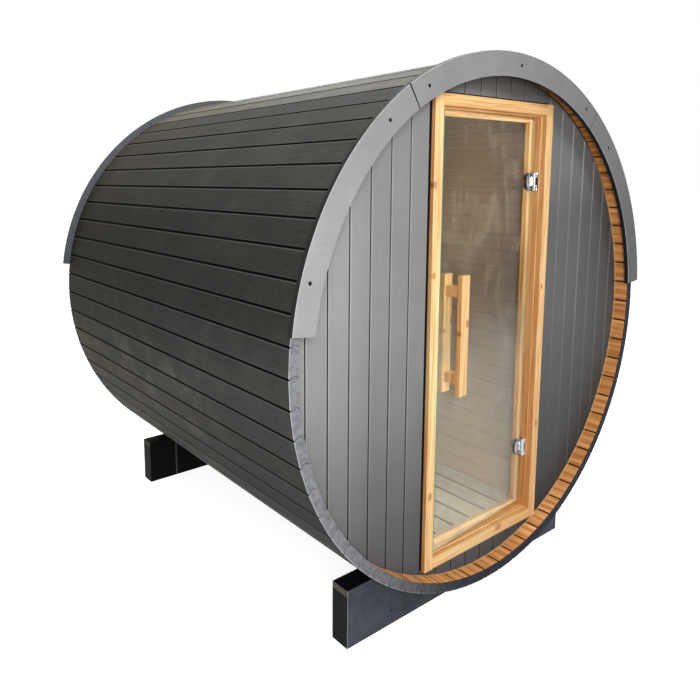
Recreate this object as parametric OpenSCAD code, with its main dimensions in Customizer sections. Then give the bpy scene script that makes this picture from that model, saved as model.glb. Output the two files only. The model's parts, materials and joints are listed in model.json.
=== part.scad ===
// Barrel sauna: a lying barrel of bead-and-cove staves on two cradles,
// with recessed board walls, round end trims and a framed glass door.
// Millimetres, +Z up, the barrel lies along Y and the door faces -Y.
// The origin is on the ground, under the middle of the barrel.

/* [Barrel] */
// Barrel diameter across the flat stave faces
barrel_d = 1970; // [1800:10:2200]
// Length of the staves
stave_len = 1900; // [1500:10:2600]
// Thickness of the staves
stave_t = 38; // [32:1:50]
// Number of staves round the barrel, an even number
stave_count = 66; // [56:2:76]
// Open joint between neighbouring staves
stave_gap = 0.4; // [0.3:0.1:1]
// Width of the round bead across the stave's edge
bead_w = 27; // [18:1:28]
// Height of the bead above the stave's edge
bead_h = 7; // [4:0.5:9]
// Chamfer along the outer edges of a stave
stave_chamfer = 4.5; // [1:0.5:5]
// Chamfer along the inner edges of a stave
inner_chamfer = 2.5; // [0.5:0.5:5]

/* [End walls] */
// Setback of an end wall's face from the stave ends
wall_setback = 60; // [40:1:100]
// Thickness of the wall boards
wall_t = 38; // [28:1:45]
// Width that one wall board covers
board_pitch = 88; // [70:1:120]
// Open joint between two wall boards
board_gap = 0.6; // [0.3:0.1:2]
// Chamfer at the face edges of a wall board
board_chamfer = 4; // [1:0.5:6]
// Length of the tongue on a wall board
tongue_len = 8; // [5:0.5:12]
// Thickness of the tongue
tongue_t = 11; // [8:0.5:13]
// Depth of the groove in the staves that holds a wall
croze_depth = 9; // [5:0.5:14]
// Fit of a wall in its groove
croze_fit = 0.4; // [0.3:0.1:1]

/* [Trim] */
// Thickness of the round trim
trim_t = 18; // [15:1:30]
// Width of the round trim
trim_w = 85; // [80:1:110]
// Chamfer at the edges of the trim's face
trim_chamfer = 1.5; // [0.5:0.5:4]
// Reach of the front trim outside the barrel
front_trim_overhang = 18; // [5:1:40]
// Reach of the back trim outside the barrel
back_trim_overhang = 28; // [5:1:40]
// Half angle of the front top arc, from upright
front_top_deg = 33; // [25:0.5:45]
// Half angle of the back top arc, from upright
back_top_deg = 30.5; // [25:0.5:45]
// Angle from upright at which the front side arcs end
front_end_deg = 83.5; // [70:0.5:110]
// Angle from upright at which the back side arcs end
back_end_deg = 82; // [70:0.5:110]
// Turn of the whole front trim to the right, in degrees
front_trim_turn = 1.1; // [0:0.1:3]
// Swing of the front left arc about its upper end, in degrees
left_trim_swing = 0.85; // [0:0.05:1.2]
// Swing of the front right arc about its upper end, in degrees
right_trim_swing = 0.4; // [0:0.05:1.2]
// Open joint between the front top arc and the left arc
left_trim_joint = 5; // [2:0.5:8]
// Open joint between the other arcs
trim_joint = 2; // [2:0.5:5]

/* [Door frame] */
// Width over the door frame
frame_w = 690; // [600:5:760]
// Height of wall over the middle of the door frame
head_wall_h = 99; // [85:1:200]
// Height of wall under the middle of the door frame
foot_wall_h = 81; // [80:1:150]
// How far the frame stands out from the wall
frame_proud = 18; // [5:1:30]
// Width of the frame's front face
lip_w = 42; // [30:1:60]
// Depth of the frame's front lip
lip_depth = 22; // [12:1:35]
// Step from the lip to the face beside the glass
reveal_step = 7; // [3:1:12]
// Depth of the stop behind the glass
stop_depth = 20; // [12:1:40]
// Reach of the stop behind the glass edge
stop_step = 18; // [12:1:30]
// Chamfer on the frame's front edges
frame_chamfer = 2; // [0.5:0.5:4]
// Open joint between the frame and the wall boards above and beside it
frame_joint = 7; // [2:0.5:12]

/* [Glass door] */
// Thickness of the glass
glass_t = 8; // [6:1:12]
// Gap round the sides and top of the glass
glass_gap = 5.5; // [5:0.5:10]
// Gap under the glass
glass_foot_gap = 11.5; // [5:0.5:20]
// Depth of the glass face behind the frame's front
glass_setback = 49; // [45:1:60]
// How far the door stands ajar, in degrees
door_ajar_deg = 4; // [0:0.5:10]

/* [Handle] */
// Length of a handle bar
bar_len = 440; // [300:5:600]
// Width of a handle bar
bar_w = 47; // [30:1:60]
// Depth of a handle bar
bar_d = 22; // [16:1:40]
// Rounding of a handle bar's long edges
bar_r = 4; // [1:0.5:8]
// Distance from the glass to a bar
bar_standoff = 24; // [18:1:45]
// Distance from the glass edge to the bar's centre line
bar_inset = 90; // [60:1:140]
// Height of the bar's middle above the middle of the glass
bar_rise = 10; // [-100:1:100]
// Width of a spacer block
block_w = 34; // [20:1:46]
// Height of a spacer block
block_h = 38; // [20:1:60]
// Distance between the two spacer blocks
block_spacing = 320; // [200:5:400]

/* [Hinges] */
// Height of a hinge
hinge_h = 70; // [50:1:100]
// Distance from the top of the glass down to the upper hinge
upper_hinge_inset = 242; // [150:1:400]
// Distance from the foot of the glass up to the lower hinge
lower_hinge_inset = 250; // [150:1:400]
// Diameter of the hinge pin
pin_d = 8; // [6:0.5:10]
// Running fit of the pin, on the radius
pin_fit = 0.05; // [0.02:0.01:0.1]
// Radius of a knuckle
knuckle_r = 7; // [6:0.5:8]
// Thickness of the base plate on the jamb
hinge_base_t = 4; // [2:0.5:5]
// Distance from the jamb to the pin
pin_offset = 14; // [13:0.5:18]
// Width of the clamp on the glass
clamp_w = 46; // [35:1:60]
// Thickness of a clamp plate
clamp_t = 6; // [4:0.5:8]

/* [Cradles] */
// Height of the barrel's lowest stave above the ground
ground_gap = 86; // [70:1:200]
// Length of a cradle across the barrel
cradle_len = 1304; // [1100:2:1500]
// Height of a cradle at its ends
cradle_h = 220; // [180:1:280]
// Thickness of a cradle
cradle_t = 80; // [60:1:140]
// Distance from the front stave ends to the front cradle
front_cradle_inset = 119; // [60:1:400]
// Distance from the back stave ends to the back cradle
back_cradle_inset = 86; // [60:1:400]
// Fit between the barrel and what lies against it
seat_fit = 0.3; // [0.2:0.1:1]

/* [Floor] */
// Height of the floor's top above the lowest stave
floor_rise = 117; // [97:1:147]
// Thickness of the floor boards
floor_t = 28; // [20:1:36]
// Width of a floor board
floor_board_w = 95; // [70:1:140]
// Gap between the floor boards
floor_gap = 8; // [4:1:20]
// Gap between the floor and the end walls
floor_end_gap = 8; // [5:1:30]
// Thickness of a floor bearer
bearer_t = 45; // [30:1:70]
// Depth of wood left at the ends of a bearer
bearer_tip = 18; // [10:1:30]

/* [Hidden] */
$fn = 96;
// Sides of the circles as large as the barrel
round_fn = 360;

// Overrun of every cut
over = 5;

// Stave sizes
pitch_deg = 360 / stave_count;
half_deg = pitch_deg / 2;
outer_r = barrel_d / 2;
inner_r = outer_r - stave_t;
corner_r = outer_r / cos(half_deg);
bead_r = (bead_w * bead_w / 4 + bead_h * bead_h) / (2 * bead_h);
center_z = ground_gap + outer_r;
front_y = -stave_len / 2;

// Stave groups, each an eighth of the round, named from the bottom up
group_count = 8;
group_deg = 360 / group_count;

// End walls
croze_r = inner_r + croze_depth;
wall_r = croze_r - croze_fit;
wall_y = front_y + wall_setback;
board_n = ceil(wall_r / board_pitch);
doorway_w = frame_w + 2 * frame_joint;
// A board that keeps less than this share of its width beside the doorway stops over and under it
sliver_share = 0.05;
door_boards = floor(doorway_w / 2 / board_pitch + sliver_share);

// Door frame and glass
frame_y = wall_y - frame_proud;
frame_bottom = center_z - inner_r + foot_wall_h;
frame_top = center_z + inner_r - head_wall_h;
frame_h = frame_top - frame_bottom;
reveal_w = lip_w + reveal_step;
stop_w = reveal_w + stop_step;
stop_y = glass_setback + glass_t + glass_gap;
frame_depth = stop_y + stop_depth;
glass_y = frame_y + glass_setback;
glass_w = frame_w - 2 * (reveal_w + glass_gap);
glass_bottom = frame_bottom + reveal_w + glass_foot_gap;
glass_top = frame_top - reveal_w - glass_gap;

// Door hinge axis
knuckle_clear = 5;
jamb_face_x = frame_w / 2 - reveal_w;
hinge_x = jamb_face_x - pin_offset;
hinge_y = glass_y - clamp_t - knuckle_clear - knuckle_r;

// Hinge heights
upper_hinge_z = glass_top - upper_hinge_inset;
lower_hinge_z = glass_bottom + lower_hinge_inset;

// Hinge parts: a base knuckle at each end, the clamp's knuckle between them
knuckle_gap = 1;
base_knuckle_h = hinge_h / 4;
clamp_knuckle_h = hinge_h - 2 * (base_knuckle_h + knuckle_gap);
base_plate_y = frame_y + lip_depth + knuckle_gap;
base_plate_d = glass_y - knuckle_clear - base_plate_y;
clamp_right = jamb_face_x - hinge_base_t - knuckle_clear;
back_clamp_right = frame_w / 2 - stop_w - knuckle_clear;

// Handle
bar_x = -glass_w / 2 + bar_inset;
bar_z = (glass_bottom + glass_top) / 2 + bar_rise;

// Floor
floor_drop = inner_r - floor_rise;
floor_top = center_z - floor_drop;
floor_bottom_r = floor_drop + floor_t;
floor_front = frame_y + frame_depth + floor_end_gap;
floor_back = -wall_y - wall_t - floor_end_gap;
floor_room_w = 2 * sqrt(inner_r * inner_r - floor_bottom_r * floor_bottom_r) - 2 * bearer_tip;
floor_n = floor((floor_room_w + floor_gap) / (floor_board_w + floor_gap));
floor_w = floor_n * (floor_board_w + floor_gap) - floor_gap;
bearer_end_r = floor_bottom_r + bearer_tip;
bearer_half_w = sqrt(inner_r * inner_r - bearer_end_r * bearer_end_r);
bearer_inset_share = 0.12;

stave_color = [0.20, 0.20, 0.21];
grey_color = [0.42, 0.42, 0.43];
cradle_color = [0.10, 0.11, 0.13];
pine_color = [0.85, 0.62, 0.36];
bare_wood_color = [0.66, 0.44, 0.26];
glass_color = [0.55, 0.68, 0.62, 0.4];
chrome_color = [0.80, 0.81, 0.83];

// Staves

// A stave's section lies with its outer face down, at the barrel's radius.
// Its edges lie on lines through the centre, and bead and cove follow one circle:
// a stave carries the bead, and the next one the cove round it.

// Bead on the right edge
module bead() {
    rotate(half_deg)
        translate([bead_h - bead_r - stave_gap / 2, -(outer_r - stave_t / 2)])
            intersection() {
                circle(bead_r);
                translate([bead_r - 2 * bead_h, -bead_w / 2])
                    square([2 * bead_h, bead_w]);
            }
}

// Room in the right edge for the next stave's bead
module cove() {
    rotate(half_deg)
        translate([bead_r - bead_h + stave_gap / 2, -(outer_r - stave_t / 2)])
            circle(bead_r + stave_gap);
}

// Plain section between the two edges, with chamfers at the outer and the inner face
module stave_blank() {
    gap_half = stave_gap / 2 / cos(half_deg);
    outer_half = outer_r * tan(half_deg) - gap_half;
    inner_half = inner_r * tan(half_deg) - gap_half;
    polygon([
        [inner_half - inner_chamfer, -inner_r],
        [-inner_half + inner_chamfer, -inner_r],
        [-inner_half - inner_chamfer * tan(half_deg), -inner_r - inner_chamfer],
        [-outer_half + stave_chamfer * tan(half_deg), -outer_r + stave_chamfer],
        [-outer_half + stave_chamfer, -outer_r],
        [outer_half - stave_chamfer, -outer_r],
        [outer_half - stave_chamfer * tan(half_deg), -outer_r + stave_chamfer],
        [inner_half + inner_chamfer * tan(half_deg), -inner_r - inner_chamfer]
    ]);
}

module stave_section(bead_left, bead_right) {
    difference() {
        union() {
            stave_blank();
            if (bead_right) bead();
            if (bead_left) mirror([1, 0]) bead();
        }
        if (!bead_right) cove();
        if (!bead_left) mirror([1, 0]) cove();
    }
}

// Stave number 0 lies at the bottom and they count up towards the right.
// Beads point up on both sides, so the lowest stave has two beads and the top one two coves.
module stave(i) {
    top = stave_count / 2;
    translate([0, 0, center_z])
        rotate([0, -i * pitch_deg, 0])
            rotate([90, 0, 0])
                linear_extrude(height = stave_len, center = true)
                    stave_section(i == 0 || i > top, i < top);
}

// Grooves round the inside of the barrel that hold the two end walls
module crozes() {
    for (side = [-1, 1])
        translate([0, side * (wall_y + wall_t / 2), center_z])
            rotate([90, 0, 0])
                cylinder(r = croze_r, h = wall_t + 2 * croze_fit, center = true, $fn = round_fn);
}

function stave_group(i) = floor((i * pitch_deg + group_deg / 2) / group_deg) % group_count;

module staves(group) {
    color(stave_color)
        for (i = [0 : stave_count - 1])
            if (stave_group(i) == group)
                difference() {
                    stave(i);
                    crozes();
                }
}

// End walls

// Section of one tongued board, its face towards -Y
module board_section() {
    half = board_pitch / 2 - board_gap / 2;
    tongue_half = tongue_t / 2;
    groove_half = tongue_half + board_gap / 2;
    groove_depth = tongue_len + board_gap;
    middle = wall_t / 2;
    polygon([
        [-half + board_chamfer, 0],
        [half - board_chamfer, 0],
        [half, board_chamfer],
        [half, middle - tongue_half],
        [half + tongue_len, middle - tongue_half],
        [half + tongue_len, middle + tongue_half],
        [half, middle + tongue_half],
        [half, wall_t],
        [-half, wall_t],
        [-half, middle + groove_half],
        [-half + groove_depth, middle + groove_half],
        [-half + groove_depth, middle - groove_half],
        [-half, middle - groove_half],
        [-half, board_chamfer]
    ]);
}

// Boards of a round wall with its outer face at y = 0, centred on the barrel
module wall_boards(first, last) {
    for (k = [first : last])
        intersection() {
            translate([(k + 1 / 2) * board_pitch, 0, 0])
                linear_extrude(height = 2 * croze_r, center = true)
                    board_section();
            rotate([-90, 0, 0])
                cylinder(r = wall_r, h = wall_t, $fn = round_fn);
        }
}

module front_boards(first, last) {
    translate([0, wall_y, center_z]) wall_boards(first, last);
}

// Boards of the front wall beside the doorway
module side_boards(first, last) {
    color(grey_color)
        difference() {
            front_boards(first, last);
            translate([-doorway_w / 2, wall_y - over, frame_bottom])
                cube([doorway_w, wall_t + 2 * over, frame_h + frame_joint]);
        }
}

// Boards of the front wall in line with the doorway, between two heights
module doorway_boards(bottom, top) {
    color(grey_color)
        intersection() {
            front_boards(-door_boards, door_boards - 1);
            translate([-outer_r, wall_y - over, bottom])
                cube([2 * outer_r, wall_t + 2 * over, top - bottom]);
        }
}

module front_wall_left() { side_boards(-board_n, -door_boards - 1); }

module front_wall_right() { side_boards(door_boards, board_n - 1); }

module front_wall_over_door() { doorway_boards(frame_top + frame_joint, center_z + outer_r); }

module front_wall_under_door() { doorway_boards(center_z - outer_r, frame_bottom); }

module back_wall() {
    color(grey_color)
        translate([0, -wall_y, center_z])
            rotate([0, 0, 180])
                wall_boards(-board_n, board_n - 1);
}

// Trim

// Section of the trim, its face towards the top
module trim_section() {
    polygon([
        [0, 0],
        [trim_w, 0],
        [trim_w, trim_t - trim_chamfer],
        [trim_w - trim_chamfer, trim_t],
        [trim_chamfer, trim_t],
        [0, trim_t - trim_chamfer]
    ]);
}

// One arc of the round trim on the front stave ends, between two angles from upright
module trim_arc(from_deg, to_deg, overhang) {
    color(grey_color)
        translate([0, front_y, center_z])
            rotate([90, 0, 0])
                rotate([0, 0, 90 - to_deg])
                    rotate_extrude(angle = to_deg - from_deg, $fn = round_fn)
                        translate([outer_r + overhang - trim_w, 0])
                            trim_section();
}

// Angle that a joint of the given width takes from an arc
function joint_deg(width) = width / inner_r * 180 / PI;

// The front trim is nailed on a little turned, and its side arcs swing about their upper ends
module swung(top_deg, swing_deg) {
    pivot_r = outer_r + front_trim_overhang - trim_w / 2;
    pivot = [pivot_r * sin(top_deg), 0, center_z + pivot_r * cos(top_deg)];
    translate(pivot)
        rotate([0, -swing_deg, 0])
            translate(-pivot)
                children();
}

module front_trim_top() {
    trim_arc(front_trim_turn - front_top_deg, front_trim_turn + front_top_deg, front_trim_overhang);
}

module front_trim_left() {
    top_deg = front_trim_turn - front_top_deg;
    end_deg = front_trim_turn - front_end_deg;
    swung(top_deg, left_trim_swing)
        trim_arc(end_deg, top_deg - joint_deg(left_trim_joint), front_trim_overhang);
}

module front_trim_right() {
    top_deg = front_trim_turn + front_top_deg;
    end_deg = front_trim_turn + front_end_deg;
    swung(top_deg, right_trim_swing)
        trim_arc(top_deg + joint_deg(trim_joint), end_deg, front_trim_overhang);
}

module back_trim_top() {
    mirror([0, 1, 0]) trim_arc(-back_top_deg, back_top_deg, back_trim_overhang);
}

module back_trim_right() {
    mirror([0, 1, 0]) trim_arc(back_top_deg + joint_deg(trim_joint), back_end_deg, back_trim_overhang);
}

module back_trim_left() { mirror([1, 0, 0]) back_trim_right(); }

// Door frame

// Rebated section of a frame member: outer edge at x = 0, front face at y = 0
module member_section() {
    polygon([
        [0, frame_chamfer],
        [frame_chamfer, 0],
        [lip_w - frame_chamfer, 0],
        [lip_w, frame_chamfer],
        [lip_w, lip_depth],
        [reveal_w, lip_depth],
        [reveal_w, stop_y],
        [stop_w, stop_y],
        [stop_w, frame_depth],
        [0, frame_depth]
    ]);
}

module jamb() {
    translate([-frame_w / 2, frame_y, frame_bottom])
        linear_extrude(height = frame_h)
            member_section();
}

// Rail along the frame's bottom edge, cut to fit between the jambs
module rail() {
    difference() {
        translate([frame_w / 2 - lip_w, frame_y, frame_bottom])
            rotate([0, -90, 0])
                linear_extrude(height = frame_w - 2 * lip_w)
                    member_section();
        jamb();
        mirror([1, 0, 0]) jamb();
    }
}

module door_jamb_left() { color(pine_color) jamb(); }

module door_jamb_right() { color(pine_color) mirror([1, 0, 0]) jamb(); }

module door_sill() { color(pine_color) rail(); }

module door_head() {
    color(pine_color)
        translate([0, 0, frame_bottom + frame_top])
            mirror([0, 0, 1])
                rail();
}

// Door leaf, drawn shut and then turned to the angle at which it stands ajar

module ajar() {
    translate([hinge_x, hinge_y, 0])
        rotate([0, 0, door_ajar_deg])
            translate([-hinge_x, -hinge_y, 0])
                children();
}

module door_glass() {
    color(glass_color)
        ajar()
            translate([-glass_w / 2, glass_y, glass_bottom])
                cube([glass_w, glass_t, glass_top - glass_bottom]);
}

// Rectangle with rounded corners, centred on x, from y = 0 up
module rounded_section(w, d, r) {
    translate([-w / 2 + r, 0]) square([w - 2 * r, d]);
    translate([-w / 2, r]) square([w, d - 2 * r]);
    for (x = [-w / 2 + r, w / 2 - r], y = [r, d - r])
        translate([x, y]) circle(r);
}

// A bar with its front face at the given depth
module handle_bar(y) {
    color(pine_color)
        ajar()
            translate([bar_x, y, bar_z - bar_len / 2])
                linear_extrude(height = bar_len)
                    rounded_section(bar_w, bar_d, bar_r);
}

module outer_handle_bar() { handle_bar(glass_y - bar_standoff - bar_d); }

module inner_handle_bar() { handle_bar(glass_y + glass_t + bar_standoff); }

module handle_blocks() {
    color(pine_color)
        ajar()
            for (y = [glass_y - bar_standoff, glass_y + glass_t], side = [-1, 1])
                translate([bar_x - block_w / 2, y, bar_z + side * block_spacing / 2 - block_h / 2])
                    cube([block_w, bar_standoff, block_h]);
}

// Hinges, each drawn about its middle and moved to its height

module hinge_base(z) {
    color(chrome_color)
        difference() {
            union() {
                translate([jamb_face_x - hinge_base_t, base_plate_y, z - hinge_h / 2])
                    cube([hinge_base_t, base_plate_d, hinge_h]);
                for (side = [-1, 1])
                    translate([hinge_x, hinge_y, z + side * (hinge_h - base_knuckle_h) / 2])
                        base_knuckle();
            }
            translate([hinge_x, hinge_y, z])
                cylinder(d = pin_d + 2 * pin_fit, h = hinge_h + 2 * over, center = true);
        }
}

// Knuckle with the arm that joins it to the base plate
module base_knuckle() {
    cylinder(r = knuckle_r, h = base_knuckle_h, center = true);
    translate([0, -knuckle_r / 2, -base_knuckle_h / 2])
        cube([pin_offset - hinge_base_t, knuckle_r, base_knuckle_h]);
}

module hinge_pin(z) {
    color(chrome_color)
        translate([hinge_x, hinge_y, z])
            cylinder(d = pin_d, h = hinge_h, center = true);
}

// D-shaped plate, its straight side at x = 0 and its round side to the left
module clamp_plate(w) {
    round_r = hinge_h / 2;
    intersection() {
        translate([-w, -round_r]) square([w, hinge_h]);
        translate([-w + round_r, 0]) circle(round_r);
    }
    if (w > round_r)
        translate([round_r - w, -round_r]) square([w - round_r, hinge_h]);
}

module hinge_clamp(z) {
    color(chrome_color)
        ajar() {
            difference() {
                union() {
                    translate([clamp_right, glass_y, z])
                        rotate([90, 0, 0])
                            linear_extrude(height = clamp_t)
                                clamp_plate(clamp_w);
                    translate([hinge_x, hinge_y, z])
                        cylinder(r = knuckle_r, h = clamp_knuckle_h, center = true);
                    translate([hinge_x - knuckle_r / 2, hinge_y, z - clamp_knuckle_h / 2])
                        cube([knuckle_r, glass_y - clamp_t - hinge_y, clamp_knuckle_h]);
                }
                translate([hinge_x, hinge_y, z])
                    cylinder(d = pin_d + 2 * pin_fit, h = hinge_h + 2 * over, center = true);
            }
            translate([back_clamp_right, glass_y + glass_t + clamp_t, z])
                rotate([90, 0, 0])
                    linear_extrude(height = clamp_t)
                        clamp_plate(clamp_w - (clamp_right - back_clamp_right));
        }
}

module upper_hinge_base() { hinge_base(upper_hinge_z); }

module lower_hinge_base() { hinge_base(lower_hinge_z); }

module upper_hinge_pin() { hinge_pin(upper_hinge_z); }

module lower_hinge_pin() { hinge_pin(lower_hinge_z); }

module upper_hinge_clamp() { hinge_clamp(upper_hinge_z); }

module lower_hinge_clamp() { hinge_clamp(lower_hinge_z); }

// Cradles

// A thick board on edge with a hollow seat for the barrel
module cradle(y) {
    color(cradle_color)
        difference() {
            translate([-cradle_len / 2, y, 0])
                cube([cradle_len, cradle_t, cradle_h]);
            translate([0, y - over, center_z])
                rotate([-90, 0, 0])
                    cylinder(r = corner_r + seat_fit, h = cradle_t + 2 * over, $fn = round_fn);
        }
}

module front_cradle() { cradle(front_y + front_cradle_inset); }

module back_cradle() { cradle(-front_y - back_cradle_inset - cradle_t); }

// Floor

module floor_boards() {
    color(bare_wood_color)
        for (k = [0 : floor_n - 1])
            translate([-floor_w / 2 + k * (floor_board_w + floor_gap), floor_front, floor_top - floor_t])
                cube([floor_board_w, floor_back - floor_front, floor_t]);
}

// A bearer under the floor, round below to lie on the staves
module floor_bearer(place_share) {
    y = floor_front + place_share * (floor_back - floor_front - bearer_t);
    color(bare_wood_color)
        intersection() {
            translate([0, y, center_z])
                rotate([-90, 0, 0])
                    cylinder(r = inner_r - seat_fit, h = bearer_t, $fn = round_fn);
            translate([-bearer_half_w, y, center_z - outer_r])
                cube([2 * bearer_half_w, bearer_t, outer_r - floor_bottom_r]);
        }
}

module front_floor_bearer() { floor_bearer(bearer_inset_share); }

module middle_floor_bearer() { floor_bearer(1 / 2); }

module back_floor_bearer() { floor_bearer(1 - bearer_inset_share); }

staves(0);  // bottom_staves
staves(1);  // lower_right_staves
staves(2);  // right_staves
staves(3);  // upper_right_staves
staves(4);  // top_staves
staves(5);  // upper_left_staves
staves(6);  // left_staves
staves(7);  // lower_left_staves
front_wall_left();
front_wall_right();
front_wall_over_door();
front_wall_under_door();
back_wall();
front_trim_left();
front_trim_top();
front_trim_right();
back_trim_left();
back_trim_top();
back_trim_right();
door_jamb_left();
door_jamb_right();
door_head();
door_sill();
door_glass();
outer_handle_bar();
inner_handle_bar();
handle_blocks();
upper_hinge_base();
lower_hinge_base();
upper_hinge_pin();
lower_hinge_pin();
upper_hinge_clamp();
lower_hinge_clamp();
front_cradle();
back_cradle();
floor_boards();
front_floor_bearer();
middle_floor_bearer();
back_floor_bearer();
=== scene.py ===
import json
import math
import random
from types import SimpleNamespace

import bpy
from mathutils import Matrix, Vector

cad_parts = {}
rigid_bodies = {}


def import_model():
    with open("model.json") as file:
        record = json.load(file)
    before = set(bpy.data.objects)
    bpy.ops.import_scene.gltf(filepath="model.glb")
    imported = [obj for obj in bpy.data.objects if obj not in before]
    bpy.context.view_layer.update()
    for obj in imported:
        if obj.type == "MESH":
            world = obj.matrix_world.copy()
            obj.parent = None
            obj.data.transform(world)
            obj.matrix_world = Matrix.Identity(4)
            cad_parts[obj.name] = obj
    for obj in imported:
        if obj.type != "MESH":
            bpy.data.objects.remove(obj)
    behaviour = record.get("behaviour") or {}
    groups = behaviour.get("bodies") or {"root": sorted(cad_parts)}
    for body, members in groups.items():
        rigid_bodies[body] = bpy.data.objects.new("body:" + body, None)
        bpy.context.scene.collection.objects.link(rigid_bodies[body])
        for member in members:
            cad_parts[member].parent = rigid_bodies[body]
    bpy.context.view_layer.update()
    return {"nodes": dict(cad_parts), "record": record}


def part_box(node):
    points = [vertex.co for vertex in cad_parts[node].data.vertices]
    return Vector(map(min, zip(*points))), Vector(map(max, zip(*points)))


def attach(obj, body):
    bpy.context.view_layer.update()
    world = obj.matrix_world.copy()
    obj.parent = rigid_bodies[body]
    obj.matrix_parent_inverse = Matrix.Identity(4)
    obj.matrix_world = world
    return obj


for leftover in list(bpy.data.objects):
    bpy.data.objects.remove(leftover)

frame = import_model()
NODES = frame["nodes"]

# Sizes and places, in metres, from the frame where a node's box gives them
BARREL_FOOT_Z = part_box("bottom_staves")[0][2]
BARREL_TOP_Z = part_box("top_staves")[1][2]
CENTER_Z = (BARREL_FOOT_Z + BARREL_TOP_Z) / 2
OUTER_R = (BARREL_TOP_Z - BARREL_FOOT_Z) / 2
STAVE_T = 0.038
MIDDLE_R = OUTER_R - STAVE_T / 2
STAVE_COUNT = 66
PITCH = 2 * math.pi / STAVE_COUNT
STAVE_W = PITCH * OUTER_R
STAVE_CHAMFER = 0.0045
BEAD_W = 0.027
BEAD_H = 0.007
BEAD_R = (BEAD_W ** 2 / 4 + BEAD_H ** 2) / (2 * BEAD_H)
END_RING_W = 0.0085
WALL_FACE_Y = -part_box("front_wall_left")[0][1]
WALL_ROOM_Y = -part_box("front_wall_left")[1][1]
WALL_MIDDLE_Y = (WALL_FACE_Y + WALL_ROOM_Y) / 2
BOARD_PITCH = 0.088
BOARD_CHAMFER = 0.004
TRIM_FACE_Y = -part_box("front_trim_top")[0][1]
FLOOR_PITCH = 0.103
FLOOR_COUNT = 7
CRADLE_END_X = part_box("front_cradle")[0][0]
CRADLE_STRIPE_X = -0.499
CRADLE_STRIP_Z = 0.198
CRADLE_DENT = (-0.437, 0.056)
FRAME_SIDE_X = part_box("door_jamb_right")[1][0]
FRAME_TOP_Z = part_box("door_head")[1][2]
GLASS_FOOT_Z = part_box("door_glass")[0][2]
GLASS_HINGE_X = 0.25
CLAMP_RIM_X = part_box("upper_hinge_base")[1][0] - 0.028
CLAMP_BACK_Y = -0.855
HINGE_MIDDLES = [sum(corner[2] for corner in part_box(name)) / 2
                 for name in ("upper_hinge_base", "lower_hinge_base")]
BORDER = 0.001  # half the width over which one finish turns into the next

# Nails through the staves and screws in the trim: profiles from the outside in, as radius and height
NAIL_PROFILE = [(0.0033, -0.0015), (0.0033, 0.0002), (0.0026, 0.0006), (0.0012, 0.0007)]
NAIL_SIDES = 12
NAIL_STRAY_ANGLE = 0.006
NAIL_STRAY_Y = 0.004
SCREW_PROFILE = [(0.0078, -0.001), (0.0075, 0.0004), (0.0071, 0.0006), (0.0066, 0.0003), (0.0026, 0.0002)]
SCREW_SIDES = 18
SCREW_R = 0.961
SCREW_DEGREES = (163.5, 129.9, 117.7, 88.0, 60.4, 45.9, 14.4)

# Knots in the pine: x, z and radius
UPRIGHT_KNOTS = [
    (-0.340, 1.613, 0.006), (-0.335, 1.304, 0.006), (-0.326, 0.496, 0.007), (0.318, 1.20, 0.005),
    (0.326, 0.62, 0.006), (-0.184, 1.121, 0.007), (-0.222, 1.087, 0.004),
]
LEVEL_KNOTS = [(0.091, 0.235, 0.009)]
PINE_CUT = 0.31

# Grain of all the wood: how far boards differ, and its rate along a board
GRAIN_SHIFT = 37.0
GRAIN_RATE = 0.045

# Camera and lamps: place, what a lamp is aimed at, its diameter and its power
CAMERA_PLACE = (-2.0302, -2.3856, 1.6347)
CAMERA_YAW, CAMERA_PITCH, CAMERA_ROLL = (math.radians(turn) for turn in (37.68, 8.02, -0.13))
CAMERA_LENS = 33.445
CAMERA_SENSOR = 36.0
CAMERA_SHIFT = (0.0627, -0.1136)
CAMERA_REACH = 200.0
FLOOR_REACH = 60.0
FLOOR_GLOW = 0.90
DOME_FOOT = 0.09
DOME_HEAD = 0.55
LAMPS = {
    "key": ((-2.1, -2.9, 1.9), (-0.6, -0.9, 1.2), 1.4, 76),
    "front_fill": ((1.6, -4.2, 4.2), (0.2, -0.9, 1.3), 2.0, 66),
    "back_fill": ((3.2, 4.2, 3.2), (0, 0.4, 1.0), 2.5, 90),
    "top": ((0.4, 0.5, 5.4), (0.0, 0.1, 2.0), 2.4, 190),
}

# Colours as linear values
CHARCOAL = (0.0540, 0.0532, 0.0500, 1)
CHARCOAL_BROWN = (0.0568, 0.0536, 0.0492, 1)
CHARCOAL_GREEN = (0.0517, 0.0532, 0.0498, 1)
SCUFF_AND_HIGHLIGHT = (0.16, 0.155, 0.145, 1)
GREY = (0.285, 0.283, 0.286, 1)
GREY_DARK = (0.262, 0.261, 0.264, 1)
GREY_LIGHT = (0.312, 0.310, 0.315, 1)
GREY_WORN_AND_HIGHLIGHT = (0.46, 0.455, 0.45, 1)
GREY_PALE = (0.72, 0.71, 0.70, 1)
RIM_DARK = (0.011, 0.011, 0.011, 1)
RIM_BLACK = (0.014, 0.014, 0.017, 1)
RIM_SLATE = (0.125, 0.134, 0.154, 1)
SLATE = (0.270, 0.280, 0.305, 1)
SLATE_DARK = (0.165, 0.174, 0.196, 1)
SLATE_LIGHT = (0.50, 0.51, 0.54, 1)
GROOVE = (0.030, 0.022, 0.024, 1)
JOINT_AND_SHADOW_DARK = (0.020, 0.016, 0.014, 1)
RAW_END = (0.105, 0.062, 0.046, 1)
PINE_LIGHT = (0.950, 0.655, 0.310, 1)
PINE_DEEP = (0.680, 0.315, 0.092, 1)
PINE_KNOT = (0.270, 0.100, 0.030, 1)
PINE_HEART = (0.560, 0.270, 0.095, 1)
BARE_LIGHT = (0.800, 0.420, 0.160, 1)
BARE_DEEP = (0.480, 0.205, 0.066, 1)
BARE_KNOT = (0.080, 0.034, 0.014, 1)
BARE_JOINT = (0.062, 0.018, 0.009, 1)
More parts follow.
